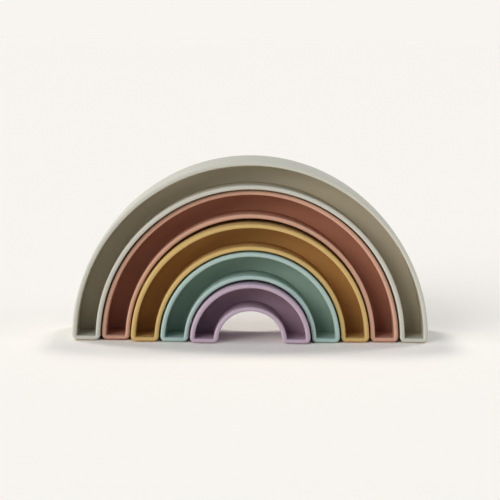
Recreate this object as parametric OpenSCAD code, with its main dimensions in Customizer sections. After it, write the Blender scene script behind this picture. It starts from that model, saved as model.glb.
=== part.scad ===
// Rainbow stacker: five loose arches moulded in soft silicone, nested one inside the next.
// Each arch is a half ring on two closed feet, with an open recess in its front and in its back
// and a web between the two. Millimetres, +Z up, front at -Y, standing on z = 0.

/* [Arch set] */
// Width across the feet of the largest arch
overall_width = 175; // [160:1:200]
// Depth of each arch, front to back
arch_depth = 38; // [28:1:48]
// Width of the tunnel under the smallest arch
tunnel_width = 31.8; // [24:0.2:44]
// Gap between one arch and the next one inside it
nest_gap = 0.9; // [0.5:0.1:1.5]
// Height of the centre of the curves above the floor
curve_height = 0.6; // [0:0.1:2]

/* [Moulding] */
// Thickness of the curved walls round each recess
wall = 2.1; // [1.8:0.1:3]
// Thickness of the floor of each foot
foot_floor = 2.1; // [1.8:0.1:4]
// Thickness of the web between the front and back recesses
web = 2.6; // [1.6:0.1:6]
// Radius of the lower corners of each foot, seen from the front
foot_corner_r = 2.6; // [1.2:0.1:4]
// Radius along the edges of the rims
rim_r = 0.8; // [0.3:0.05:0.9]
// Radius where the curved walls of a recess meet the web
recess_r = 0.4; // [0.1:0.05:1]

/* [Standing places] */
// How far the terracotta arch stands forward of the stone one
terracotta_forward = -1.8; // [-19:0.1:19]
// How far the mustard arch stands forward of the stone one
mustard_forward = 1.3; // [-19:0.1:19]
// How far the mint arch stands forward of the stone one
mint_forward = 2.2; // [-19:0.1:19]
// How far the lilac arch stands forward of the stone one
lilac_forward = 5.2; // [-19:0.1:19]

/* [Hidden] */
NODES = ["stone_arch", "terracotta_arch", "mustard_arch", "mint_arch", "lilac_arch"];
$fn = 96;

// How far a cut runs past the face that it opens
overrun = 1;
// How far each foot steps in from the curves that stand on it
foot_step = 0.02;
// Angle by which the curves are turned on past the floor before they are trimmed
turn_past = 30;

// Places along the depth, with the whole set centred on the origin
forward = [0, terracotta_forward, mustard_forward, mint_forward, lilac_forward];
set_middle = (max(forward) + min(forward)) / 2;
half_depth = arch_depth / 2;
half_web = web / 2;

// Width of each arch, from its outer curve to its inner curve: an even share of the room beside the tunnel
band_width = ((overall_width - tunnel_width) / 2 - (len(NODES) - 1) * nest_gap) / len(NODES);
half_band = band_width / 2;

// Where the rounding of a rim begins, a step late so that it cuts the front face
rim_start = half_depth - rim_r + foot_step;

// Radius of the middle of arch i, counted inward from the largest
function middle_r(i) = overall_width / 2 - i * (band_width + nest_gap) - half_band;

// Where a curve of radius r stands over the top of the feet
function stand_x(r) = sqrt(r ^ 2 - (foot_corner_r - curve_height) ^ 2);

// Where a foot begins and ends, in whole steps
function foot_inner(i) = foot_step * (ceil(stand_x(middle_r(i) - half_band) / foot_step) + 1);
function foot_outer(i) = foot_step * (floor(stand_x(middle_r(i) + half_band) / foot_step) - 1);

// Half of a section through the outside of an arch, with soft edges at the front and the back
module outside_edge(reach, half) {
    translate([0, -half])
        square([reach - rim_r, 2 * half]);
    translate([0, rim_r - half])
        square([reach, 2 * (half - rim_r)]);
    for (end = [-1, 1])
        translate([reach - rim_r, end * (half - rim_r)])
            circle(r = rim_r);
}

// Where a recess opens over its rounded rim, up to a plane in front of the arch
module rim_flare(reach, front) {
    difference() {
        translate([0, rim_start])
            square([reach + rim_r, front - rim_start]);
        translate([reach + rim_r, rim_start])
            circle(r = rim_r);
    }
}

// Half of a section through a recess, between its curved walls
module recess_edge(reach) {
    front = half_depth + overrun;
    translate([0, half_web])
        square([reach - recess_r, front - half_web]);
    translate([0, half_web + recess_r])
        square([reach, front - half_web - recess_r]);
    translate([reach - recess_r, half_web + recess_r])
        circle(r = recess_r);
    rim_flare(reach, front);
}

// A section through the space over the floor of a foot, drawn downward
module floor_edge() {
    front = half_depth + 2 * overrun;
    translate([-overall_width, 0])
        square([overall_width, front]);
    rim_flare(0, front);
}

// Turns a half section and its mirror image round the curve of arch i
module turned(i) {
    translate([0, curve_height])
        rotate(-turn_past)
            rotate_extrude(angle = 180 + 2 * turn_past)
                translate([middle_r(i), 0]) {
                    children();
                    mirror([1, 0])
                        children();
                }
}

// One foot of arch i, on the right: two round lower corners and the floor between them
module foot(i) {
    inner_centre = foot_inner(i) + foot_corner_r;
    outer_centre = foot_outer(i) - foot_corner_r;
    half = half_depth - foot_step;
    translate([inner_centre, foot_corner_r])
        rotate(180)
            rotate_extrude(angle = 90)
                outside_edge(foot_corner_r, half);
    translate([outer_centre, foot_corner_r]) {
        rotate(-90)
            rotate_extrude(angle = 90)
                outside_edge(foot_corner_r, half);
        rotate([90, 0, -90])
            linear_extrude(height = outer_centre - inner_centre)
                outside_edge(foot_corner_r, half);
    }
}

// Arch i before its recesses are made: the half ring, trimmed over its two feet
module arch_blank(i) {
    intersection() {
        turned(i)
            outside_edge(half_band, half_depth);
        translate([-overall_width, foot_corner_r, -arch_depth])
            cube([2 * overall_width, overall_width, 2 * arch_depth]);
    }
    foot(i);
    mirror([1, 0, 0])
        foot(i);
}

// The space of the front recess of arch i, closed below by the floors of its feet
module recess(i) {
    intersection() {
        turned(i)
            recess_edge(half_band - wall);
        translate([overall_width, foot_floor])
            rotate([90, 0, -90])
                linear_extrude(height = 2 * overall_width)
                    floor_edge();
    }
}

// Arch i of the set, drawn from the front and stood up
module arch(i) {
    translate([0, set_middle - forward[i], 0])
        rotate([90, 0, 0])
            difference() {
                arch_blank(i);
                recess(i);
                mirror([0, 0, 1])
                    recess(i);
            }
}

module stone_arch() {
    color("#c8c3b1")
        arch(0);
}

module terracotta_arch() {
    color("#c4967f")
        arch(1);
}

module mustard_arch() {
    color("#cba860")
        arch(2);
}

module mint_arch() {
    color("#a6bfb8")
        arch(3);
}

module lilac_arch() {
    color("#b79fb3")
        arch(4);
}

stone_arch();
terracotta_arch();
mustard_arch();
mint_arch();
lilac_arch();
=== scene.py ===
import math

import bmesh
import bpy
from mathutils import Matrix, Vector


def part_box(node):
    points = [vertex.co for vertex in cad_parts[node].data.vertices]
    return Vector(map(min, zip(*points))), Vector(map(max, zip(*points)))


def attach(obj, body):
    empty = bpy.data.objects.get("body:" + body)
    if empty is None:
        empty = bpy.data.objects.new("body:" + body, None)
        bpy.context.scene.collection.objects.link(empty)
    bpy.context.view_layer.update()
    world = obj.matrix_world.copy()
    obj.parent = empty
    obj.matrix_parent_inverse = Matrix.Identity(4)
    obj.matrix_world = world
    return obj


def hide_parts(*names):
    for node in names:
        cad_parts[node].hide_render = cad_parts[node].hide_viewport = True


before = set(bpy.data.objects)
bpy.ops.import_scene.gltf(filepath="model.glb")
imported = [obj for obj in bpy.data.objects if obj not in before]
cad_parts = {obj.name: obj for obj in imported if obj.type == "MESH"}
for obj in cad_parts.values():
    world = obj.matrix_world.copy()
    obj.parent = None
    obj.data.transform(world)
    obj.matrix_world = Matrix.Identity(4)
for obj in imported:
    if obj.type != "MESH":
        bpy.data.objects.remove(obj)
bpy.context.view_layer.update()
print("frame loaded:", ", ".join(sorted(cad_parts)))

mm = 0.001
scene = bpy.context.scene
scene.view_settings.view_transform = "Standard"


def linearColour(hexCode):
    parts = [int(hexCode[i:i + 2], 16) / 255 for i in (0, 2, 4)]
    return [c / 12.92 if c <= 0.04045 else ((c + 0.055) / 1.055) ** 2.4 for c in parts] + [1]


# a feed is a socket to link from, or a plain value for that input
def addNode(tree, kind, settings=None, feeds=None):
    node = tree.nodes.new(kind)
    for key, value in (settings or {}).items():
        setattr(node, key, value)
    for key, value in (feeds or {}).items():
        if isinstance(value, bpy.types.NodeSocket):
            tree.links.new(value, node.inputs[key])
        else:
            node.inputs[key].default_value = value
    return node


# the camera stands where the photograph was taken from
viewpoint = {
    "place": (-3.2, -757.7, 152.7),  # mm
    "turn": 0.209,  # degrees to the right
    "down": 8.22,  # degrees
    "roll": 0.529,  # degrees
    "focal": 110.5,  # mm
    "sensor": 36,  # mm
    "near": 0.05,  # m
    "far": 60,  # m
}


def makeCamera(view):
    turn, down, roll = (math.radians(view[k]) for k in ("turn", "down", "roll"))
    ahead = Vector((math.sin(turn) * math.cos(down), math.cos(turn) * math.cos(down), -math.sin(down)))
    right = Vector((math.cos(turn), -math.sin(turn), 0))
    up = right.cross(ahead)
    across = math.cos(roll) * right + math.sin(roll) * up
    upright = math.cos(roll) * up - math.sin(roll) * right
    facing = Matrix((across, upright, -ahead)).transposed().to_4x4()
    lens = bpy.data.cameras.new("camera")
    lens.sensor_width = view["sensor"]
    lens.lens = view["focal"]
    lens.clip_start, lens.clip_end = view["near"], view["far"]
    camera = bpy.data.objects.new("camera", lens)
    camera.matrix_world = Matrix.Translation(Vector(view["place"]) * mm) @ facing
    scene.collection.objects.link(camera)
    scene.camera = camera


makeCamera(viewpoint)
print("camera placed")

moulding = {  # mm, the same for every arch
    "band": 13.6,
    "depth": 38.0,
    "curveHeight": 1.1,
    "wall": 2.1,
    "web": 2.6,
    "footCorner": 2.6,
    "rimRound": 0.9,
    "recessRound": 0.45,
    "soleLift": 0.3,  # the rims of the feet clear the floor, and the middle of the soles stands on it
    "swell": 0.445,  # the outside swells a little from the rims to the middle of the depth
    "stepLength": 1.2,  # along the outer curve
    "weld": 0.04,  # points nearer than this become one
    "match": 0.01,  # measures nearer than this are the same
    "margin": 0.1,  # how far past its walls a recess still counts as inside
}

fineness = {
    "cornerShare": 0.99,  # of the radius, so that a corner stops short of the curve above it
    "cornerSegments": 8,
    "rimSegments": 6,
    "rootSegments": 3,
    "swellSteps": 5,
    "sharpTurn": 1.0,  # radians between two faces
}

# painted shade, darkening the recesses and the feet where they meet the floor
shadePainting = {
    "recessShadePower": 0.65,  # painted shade: a recess takes its deep tone soon behind the rim, where the shade falls
    "soleShadeRate": 1.6,  # and a sole takes it on the lower part of the rim's rounding, as painted contact shadow
}

slump = {
    "leanTurn": 0.25,  # a leaning arch turns about half its height, and this is that share squared
    "sagPower": 3,  # the sag is nearly all in the upper part
}


def newVerts(made):
    return [g for g in made["geom"] if isinstance(g, bmesh.types.BMVert)]


# a line across the band, spun over the top from just above one foot to just above the other
def drawFront(bm, m, outer, lift):
    inner, front = outer - m["band"], -m["depth"] / 2
    drop = m["footCorner"] - lift
    steps = round(math.pi * outer / m["stepLength"])
    start = math.asin(drop / inner) + math.pi / steps / 2
    ends = [bm.verts.new((r * math.cos(start), front, lift + r * math.sin(start))) for r in (inner, outer)]
    line = bm.edges.new(ends)
    bmesh.ops.spin(bm, geom=ends + [line], cent=(0, 0, lift), axis=(0, -1, 0),
                   angle=math.pi - 2 * start, steps=steps)

    # the feet: on round to the top of the corners, then straight down to the floor
    across = [e for e in bm.edges if e.is_boundary and abs(e.calc_length() - m["band"]) < m["match"]]
    ankles = newVerts(bmesh.ops.extrude_edge_only(bm, edges=across))
    for v in ankles:
        reach = math.hypot(v.co.x, v.co.z - lift)
        v.co.x = math.copysign(math.sqrt(reach ** 2 - drop ** 2), v.co.x)
        v.co.z = m["footCorner"]
    across = [e for e in bm.edges if all(v in ankles for v in e.verts)]
    soles = newVerts(bmesh.ops.extrude_edge_only(bm, edges=across))
    bmesh.ops.translate(bm, verts=soles, vec=(0, 0, -m["footCorner"]))
    bmesh.ops.bevel(bm, geom=soles, offset=m["footCorner"] * fineness["cornerShare"], offset_type="OFFSET",
                    segments=fineness["cornerSegments"], profile=0.5, affect="VERTICES", material=-1)
    bmesh.ops.remove_doubles(bm, verts=bm.verts[:], dist=m["weld"])


# the rim is an inset, and the recess is pushed in from it as far as the web
def pushRecess(bm, m):
    face = bm.faces[:]
    bmesh.ops.recalc_face_normals(bm, faces=face)
    bmesh.ops.inset_region(bm, faces=face, thickness=m["wall"], use_even_offset=True, use_boundary=True)
    recess = newVerts(bmesh.ops.extrude_face_region(bm, geom=face))
    bmesh.ops.delete(bm, geom=[f for f in face if f.is_valid], context="FACES")
    bmesh.ops.translate(bm, verts=recess, vec=(0, (m["depth"] - m["web"]) / 2, 0))


# the outside is drawn back to the middle of the depth, and what swells below the floor is pressed flat
def drawOutside(bm, m, arch):
    front, count = -m["depth"] / 2, fineness["swellSteps"]
    bmesh.ops.translate(bm, verts=bm.verts[:], vec=(0, 0, m["soleLift"]))
    for k in range(1, count + 1):
        left = 1 - k / count
        outline = [e for e in bm.edges if e.is_boundary]
        drawn = newVerts(bmesh.ops.extrude_edge_only(bm, edges=outline))
        for v in drawn:
            v.co.y = front * left
        bmesh.ops.recalc_face_normals(bm, faces=bm.faces[:])
        bm.normal_update()
        rise = m["swell"] * ((left + 1 / count) ** 2 - left ** 2)
        for v in drawn:
            shoulder = (2 * v.normal.x * max(v.normal.z, 0)) ** 2
            v.co += v.normal * (rise + arch["shoulders"] * mm * shoulder / count)
            v.co.z = max(v.co.z, 0)
            v.co.y = front * left


def sharpEdges(bm):
    return [e for e in bm.edges if len(e.link_faces) == 2 and e.calc_face_angle(0) > fineness["sharpTurn"]]


# soft rims, and a small fillet where the recess meets the web
def soften(bm, m):
    front, root = -m["depth"] / 2, -m["web"] / 2
    rims = [e for e in sharpEdges(bm) if all(v.co.y < front + m["match"] for v in e.verts)]
    bmesh.ops.bevel(bm, geom=rims, offset=m["rimRound"], offset_type="OFFSET",
                    segments=fineness["rimSegments"], profile=0.5, affect="EDGES", material=-1)
    roots = [e for e in sharpEdges(bm) if all(abs(v.co.y - root) < m["match"] for v in e.verts)]
    bmesh.ops.bevel(bm, geom=roots, offset=m["recessRound"], offset_type="OFFSET",
                    segments=fineness["rootSegments"], profile=0.5, affect="EDGES", material=-1)


# how much painted shade each point takes: 0 on the rims, 1 on the web and under the feet
def paintShade(bm, m, outer, lift):
    half, middle = m["depth"] / 2, outer - m["band"] / 2
    shadeLevel = bm.verts.layers.float.new("recess")
    for v in bm.verts:
        offCentre = abs(math.hypot(v.co.x, v.co.z - lift) - middle)
        between = offCentre < m["band"] / 2 - m["wall"] + m["margin"]
        inside = between and v.co.z > m["wall"] + m["soleLift"] - m["margin"]
        deep = (half - abs(v.co.y)) / (half - m["web"] / 2)
        contactShade = (m["rimRound"] + m["soleLift"] - v.co.z) / m["rimRound"]
        v[shadeLevel] = min(1, max(inside * max(deep, 0) ** shadePainting["recessShadePower"], shadePainting["soleShadeRate"] * contactShade, 0))


# soft pieces slump: each arch sags, leans and stands turned by its own small amounts
def slumpDown(bm, m, arch, outer, lift):
    inner = outer - m["band"]
    for v in bm.verts:
        reach = math.hypot(v.co.x, v.co.z - lift)
        rise = max(v.co.z - lift, 0) / reach
        share = min(max((reach - inner) / m["band"], 0), 1)
        lean = arch["lean"] * ((v.co.z / outer) ** 2 - slump["leanTurn"])
        sag = arch["sag"] * share + arch["innerSag"] * (1 - share)
        v.co.y += (lean + arch["twist"] * v.co.x / outer) * mm
        v.co.z -= sag * mm * rise ** slump["sagPower"]


def archMesh(arch):
    m = {key: value * mm for key, value in moulding.items()}
    outer = arch["outerRadius"] * mm
    lift = m["curveHeight"] - arch["settle"] * mm
    bm = bmesh.new()
    drawFront(bm, m, outer, lift)
    pushRecess(bm, m)
    drawOutside(bm, m, arch)
    soften(bm, m)

    # the back is the same as the front
    bmesh.ops.mirror(bm, geom=bm.verts[:] + bm.edges[:] + bm.faces[:], merge_dist=m["match"], axis="Y")
    bmesh.ops.recalc_face_normals(bm, faces=bm.faces[:])
    paintShade(bm, m, outer, lift + m["soleLift"])
    slumpDown(bm, m, arch, outer, lift + m["soleLift"])

    low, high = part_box(arch["node"])
    bmesh.ops.translate(bm, verts=bm.verts[:], vec=(0, (low.y + high.y) / 2, 0))
    for f in bm.faces:
        f.smooth = True
    openEdges = sum(not e.is_manifold for e in bm.edges)
    print(arch["name"], len(bm.faces), "faces,", openEdges, "open edges,", round(bm.calc_volume() / mm ** 3), "mm3")
    mesh = bpy.data.meshes.new(arch["name"])
    bm.to_mesh(mesh)
    bm.free()
    return mesh


# moulded silicone, pigmented right through, from a finely blasted mould: a dry, even surface with
# hardly any shine, a little light passing under the skin, and pale lint that clings to it
silicone = {
    "roughness": 0.62,
    "roughnessDrift": 0.06,
    "ior": 1.41,
    "specular": 0.06,  # low, because the blasted skin scatters nearly all of its shine
    "cloudSize": 16.0,  # mm, slow drift of the pigment
    "cloudTone": 0.12,  # how far the drift goes to the deep tone
    # how far the recesses go to the deep colour: painted shade
    "recessShade": 0.88,
    "grainSize": 1.1,  # mm, the blasted mould is finer, but would not show
    "grainDepth": 0.05,  # mm
    "grainStrength": 0.15,
    "lintSpacing": 5.0,  # mm
    "lintSize": 0.3,  # mm, fibres are thinner, but would not show
    "lintCover": 0.45,
    "lintColour": "e6e2da",
    "skinDepth": 0.9,  # mm
    "skinShare": 0.08,
    "noiseRange": (0.3, 0.7),  # where nearly all of a noise's values lie
}


def siliconeMaterial(arch):
    material = bpy.data.materials.new(arch["slot"] + "_matte")
    material.use_nodes = True
    tree = material.node_tree
    tree.nodes.clear()
    least, most = silicone["noiseRange"]
    place = addNode(tree, "ShaderNodeTexCoord").outputs["Object"]

    # the pigment drifts a little, and the recess attribute darkens the recesses and the soles toward the deep
    # colour as painted shade
    cloud = addNode(tree, "ShaderNodeTexNoise", None,
                    {"Vector": place, "Scale": 1 / (silicone["cloudSize"] * mm), "Detail": 3.0, "Roughness": 0.5})
    drift = addNode(tree, "ShaderNodeMapRange", None,
                    {"Value": cloud.outputs["Fac"], "From Min": least, "From Max": most,
                     "To Min": silicone["cloudTone"], "To Max": 0.0})
    recess = addNode(tree, "ShaderNodeAttribute", {"attribute_name": "recess"})
    depth = addNode(tree, "ShaderNodeMath", {"operation": "MULTIPLY_ADD", "use_clamp": True},
                    {0: recess.outputs["Fac"], 1: silicone["recessShade"], 2: drift.outputs["Result"]})
    pigmentAndShade = addNode(tree, "ShaderNodeMix", {"data_type": "RGBA"},
                      {"Factor": depth.outputs[0], "A": linearColour(arch["colour"]),
                       "B": linearColour(arch["shadeAndDriftColour"])})

    # lint: small pale specks that fade from the middle of their cells
    cells = addNode(tree, "ShaderNodeTexVoronoi", None,
                    {"Vector": place, "Scale": 1 / (silicone["lintSpacing"] * mm)})
    speck = addNode(tree, "ShaderNodeMapRange", None,
                    {"Value": cells.outputs["Distance"], "From Min": 0.0,
                     "From Max": silicone["lintSize"] / silicone["lintSpacing"],
                     "To Min": silicone["lintCover"], "To Max": 0.0})
    skin = addNode(tree, "ShaderNodeMix", {"data_type": "RGBA"},
                   {"Factor": speck.outputs["Result"], "A": pigmentAndShade.outputs["Result"],
                    "B": linearColour(silicone["lintColour"])})

    # the mould's grain, in the relief and in the shine
    grain = addNode(tree, "ShaderNodeTexNoise", None,
                    {"Vector": place, "Scale": 1 / (silicone["grainSize"] * mm), "Detail": 4.0, "Roughness": 0.6})
    bump = addNode(tree, "ShaderNodeBump", None,
                   {"Strength": silicone["grainStrength"], "Distance": silicone["grainDepth"] * mm,
                    "Height": grain.outputs["Fac"]})
    rough = addNode(tree, "ShaderNodeMapRange", None,
                    {"Value": grain.outputs["Fac"], "From Min": least, "From Max": most,
                     "To Min": silicone["roughness"] - silicone["roughnessDrift"],
                     "To Max": silicone["roughness"] + silicone["roughnessDrift"]})

    shader = addNode(tree, "ShaderNodeBsdfPrincipled", None,
                     {"Base Color": skin.outputs["Result"], "Roughness": rough.outputs["Result"],
                      "Normal": bump.outputs["Normal"], "IOR": silicone["ior"],
                      "Specular IOR Level": silicone["specular"], "Subsurface Weight": silicone["skinShare"],
                      "Subsurface Scale": silicone["skinDepth"] * mm})
    addNode(tree, "ShaderNodeOutputMaterial", None, {"Surface": shader.outputs["BSDF"]})
    return material


def makeArch(arch):
    piece = bpy.data.objects.new(arch["name"], archMesh(arch))
    scene.collection.objects.link(piece)
    piece.data.materials.append(siliconeMaterial(arch))
    even = piece.modifiers.new("even shading", "WEIGHTED_NORMAL")
    even.weight = 100  # broad faces rule over the narrow ones of the rims
    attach(piece, arch["body"])
    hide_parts(arch["node"])


stoneArch = {
    "name": "stone_arch_moulding",
    "node": "stone_arch",
    "body": "stone",
    "slot": "stone_silicone",
    "outerRadius": 87.5,  # mm
    "settle": 0.0,  # mm, all of the curve
    "sag": 0.0,  # mm at the top of the outer wall
    "innerSag": 0.0,  # mm at the top of the inner wall
    "lean": 0.0,  # mm, the top to the back and the feet to the front
    "twist": 0.0,  # mm at the right foot, to the back
    "shoulders": 0.0,  # mm, how much more the outer wall swells there
    "colour": "b9b7aa",
    # the deep colour is painted shade for the recesses and soles, and where the pigment drifts to
    "shadeAndDriftColour": "bcb096",
}
makeArch(stoneArch)

terracottaArch = {
    "name": "terracotta_arch_moulding",
    "node": "terracotta_arch",
    "body": "terracotta",
    "slot": "terracotta_silicone",
    "outerRadius": 73.0,  # mm
    "settle": 0.0,  # mm, all of the curve
    "sag": 0.0,  # mm at the top of the outer wall
    "innerSag": 0.0,  # mm at the top of the inner wall
    "lean": 2.6,  # mm, the top to the back and the feet to the front
    "twist": -0.35,  # mm at the right foot, to the back
    "shoulders": 0.0,  # mm, how much more the outer wall swells there
    "colour": "c29881",
    # the deep colour is painted shade for the recesses and soles, and where the pigment drifts to
    "shadeAndDriftColour": "ab7258",
}
makeArch(terracottaArch)

mustardArch = {
    "name": "mustard_arch_moulding",
    "node": "mustard_arch",
    "body": "mustard",
    "slot": "mustard_silicone",
    "outerRadius": 58.5,  # mm
    "settle": 0.25,  # mm, all of the curve
    "sag": 1.1,  # mm at the top of the outer wall
    "innerSag": 0.43,  # mm at the top of the inner wall
    "lean": 0.0,  # mm, the top to the back and the feet to the front
    "twist": 1.25,  # mm at the right foot, to the back
    "shoulders": 0.25,  # mm, how much more the outer wall swells there
    "colour": "c1a469",
    # the deep colour is painted shade for the recesses and soles, and where the pigment drifts to
    "shadeAndDriftColour": "b5844a",
}
makeArch(mustardArch)

mintArch = {
    "name": "mint_arch_moulding",
    "node": "mint_arch",
    "body": "mint",
    "slot": "mint_silicone",
    "outerRadius": 44.0,  # mm
    "settle": 0.35,  # mm, all of the curve
    "sag": 0.4,  # mm at the top of the outer wall
    "innerSag": 0.13,  # mm at the top of the inner wall
    "lean": 0.0,  # mm, the top to the back and the feet to the front
    "twist": 0.4,  # mm at the right foot, to the back
    "shoulders": 0.07,  # mm, how much more the outer wall swells there
    "colour": "a1b4ac",
    # the deep colour is painted shade for the recesses and soles, and where the pigment drifts to
    "shadeAndDriftColour": "98ad9c",
}
makeArch(mintArch)

lilacArch = {
    "name": "lilac_arch_moulding",
    "node": "lilac_arch",
    "body": "lilac",
    "slot": "lilac_silicone",
    "outerRadius": 29.5,  # mm
    "settle": 0.75,  # mm, all of the curve
    "sag": 0.5,  # mm at the top of the outer wall
    "innerSag": 0.3,  # mm at the top of the inner wall
    "lean": 0.0,  # mm, the top to the back and the feet to the front
    "twist": 0.0,  # mm at the right foot, to the back
    "shoulders": 0.28,  # mm, how much more the outer wall swells there
    "colour": "b29ea9",
    # the deep colour is painted shade for the recesses and soles, and where the pigment drifts to
    "shadeAndDriftColour": "a28793",
}
makeArch(lilacArch)

studio = {
    "floorColour": "fcf6eb",
    "floorHalfWidth": 20,  # m
    "floorCells": 8,
    "floorRoughness": 0.9,
    "backdropColour": "f8f5f0",
    "roomLight": 0.245,
    "roomColour": "b5d3ff",
}


# plain matte paper: it shows the shadow and gives back no shine
def makeFloor():
    bm = bmesh.new()
    bmesh.ops.create_grid(bm, x_segments=studio["floorCells"], y_segments=studio["floorCells"],
                          size=studio["floorHalfWidth"])
    mesh = bpy.data.meshes.new("floor")
    bm.to_mesh(mesh)
    bm.free()
    floor = bpy.data.objects.new("floor", mesh)
    scene.collection.objects.link(floor)
    paper = bpy.data.materials.new("matte_white_paper")
    paper.use_nodes = True
    surface = paper.node_tree.nodes["Principled BSDF"].inputs
    surface["Base Color"].default_value = linearColour(studio["floorColour"])
    surface["Roughness"].default_value = studio["floorRoughness"]
    surface["Specular IOR Level"].default_value = 0.0
    mesh.materials.append(paper)


makeFloor()

# the rims catch the key and the two low strips, the recesses fall into shade, and the pair at the
# back throws the short shadow in front of the feet and beside them
lamps = [
    {"name": "key", "azimuth": -38, "height": 22, "power": 1.63, "spread": 35, "colour": "ffffff"},
    {"name": "left strip", "azimuth": -76, "height": 5, "power": 2.14, "spread": 24, "colour": "ffffff"},
    {"name": "right strip", "azimuth": 76, "height": 5, "power": 1.63, "spread": 24, "colour": "ffffff"},
    {"name": "back left", "azimuth": -127, "height": 56, "power": 1.09, "spread": 14, "colour": "fffaf4"},
    {"name": "back right", "azimuth": 130, "height": 56, "power": 0.88, "spread": 14, "colour": "fffaf4"},
    {"name": "overhead", "azimuth": 0, "height": 84, "power": 0.05, "spread": 40, "colour": "ffffff"},
]


# an azimuth of 0 is from the camera's side, and 90 from the right
def makeLamps():
    for lamp in lamps:
        azimuth, height = math.radians(lamp["azimuth"]), math.radians(lamp["height"])
        level = math.cos(height)
        source = Vector((math.sin(azimuth) * level, -math.cos(azimuth) * level, math.sin(height)))
        light = bpy.data.lights.new(lamp["name"], "SUN")
        light.energy = lamp["power"]
        light.angle = math.radians(lamp["spread"])
        light.color = linearColour(lamp["colour"])[:3]
        stand = bpy.data.objects.new(lamp["name"], light)
        stand.rotation_mode = "QUATERNION"
        stand.rotation_quaternion = source.to_track_quat("Z", "Y")
        scene.collection.objects.link(stand)


makeLamps()


# the room gives a cool fill, and the eye and any shine see the plain backdrop instead
def makeRoom():
    world = bpy.data.worlds.new("studio")
    scene.world = world
    world.use_nodes = True
    tree = world.node_tree
    tree.nodes.clear()
    room = addNode(tree, "ShaderNodeBackground", None,
                   {"Color": linearColour(studio["roomColour"]), "Strength": studio["roomLight"]})
    backdrop = addNode(tree, "ShaderNodeBackground", None,
                       {"Color": linearColour(studio["backdropColour"]), "Strength": 1.0})
    rays = addNode(tree, "ShaderNodeLightPath")
    seen = addNode(tree, "ShaderNodeMath", {"operation": "MAXIMUM"},
                   {0: rays.outputs["Is Camera Ray"], 1: rays.outputs["Is Glossy Ray"]})
    seen = addNode(tree, "ShaderNodeMath", {"operation": "MAXIMUM"},
                   {0: seen.outputs[0], 1: rays.outputs["Is Transmission Ray"]})
    both = addNode(tree, "ShaderNodeMixShader", None,
                   {0: seen.outputs[0], 1: room.outputs["Background"], 2: backdrop.outputs["Background"]})
    addNode(tree, "ShaderNodeOutputWorld", None, {"Surface": both.outputs["Shader"]})


makeRoom()
print("studio lit")
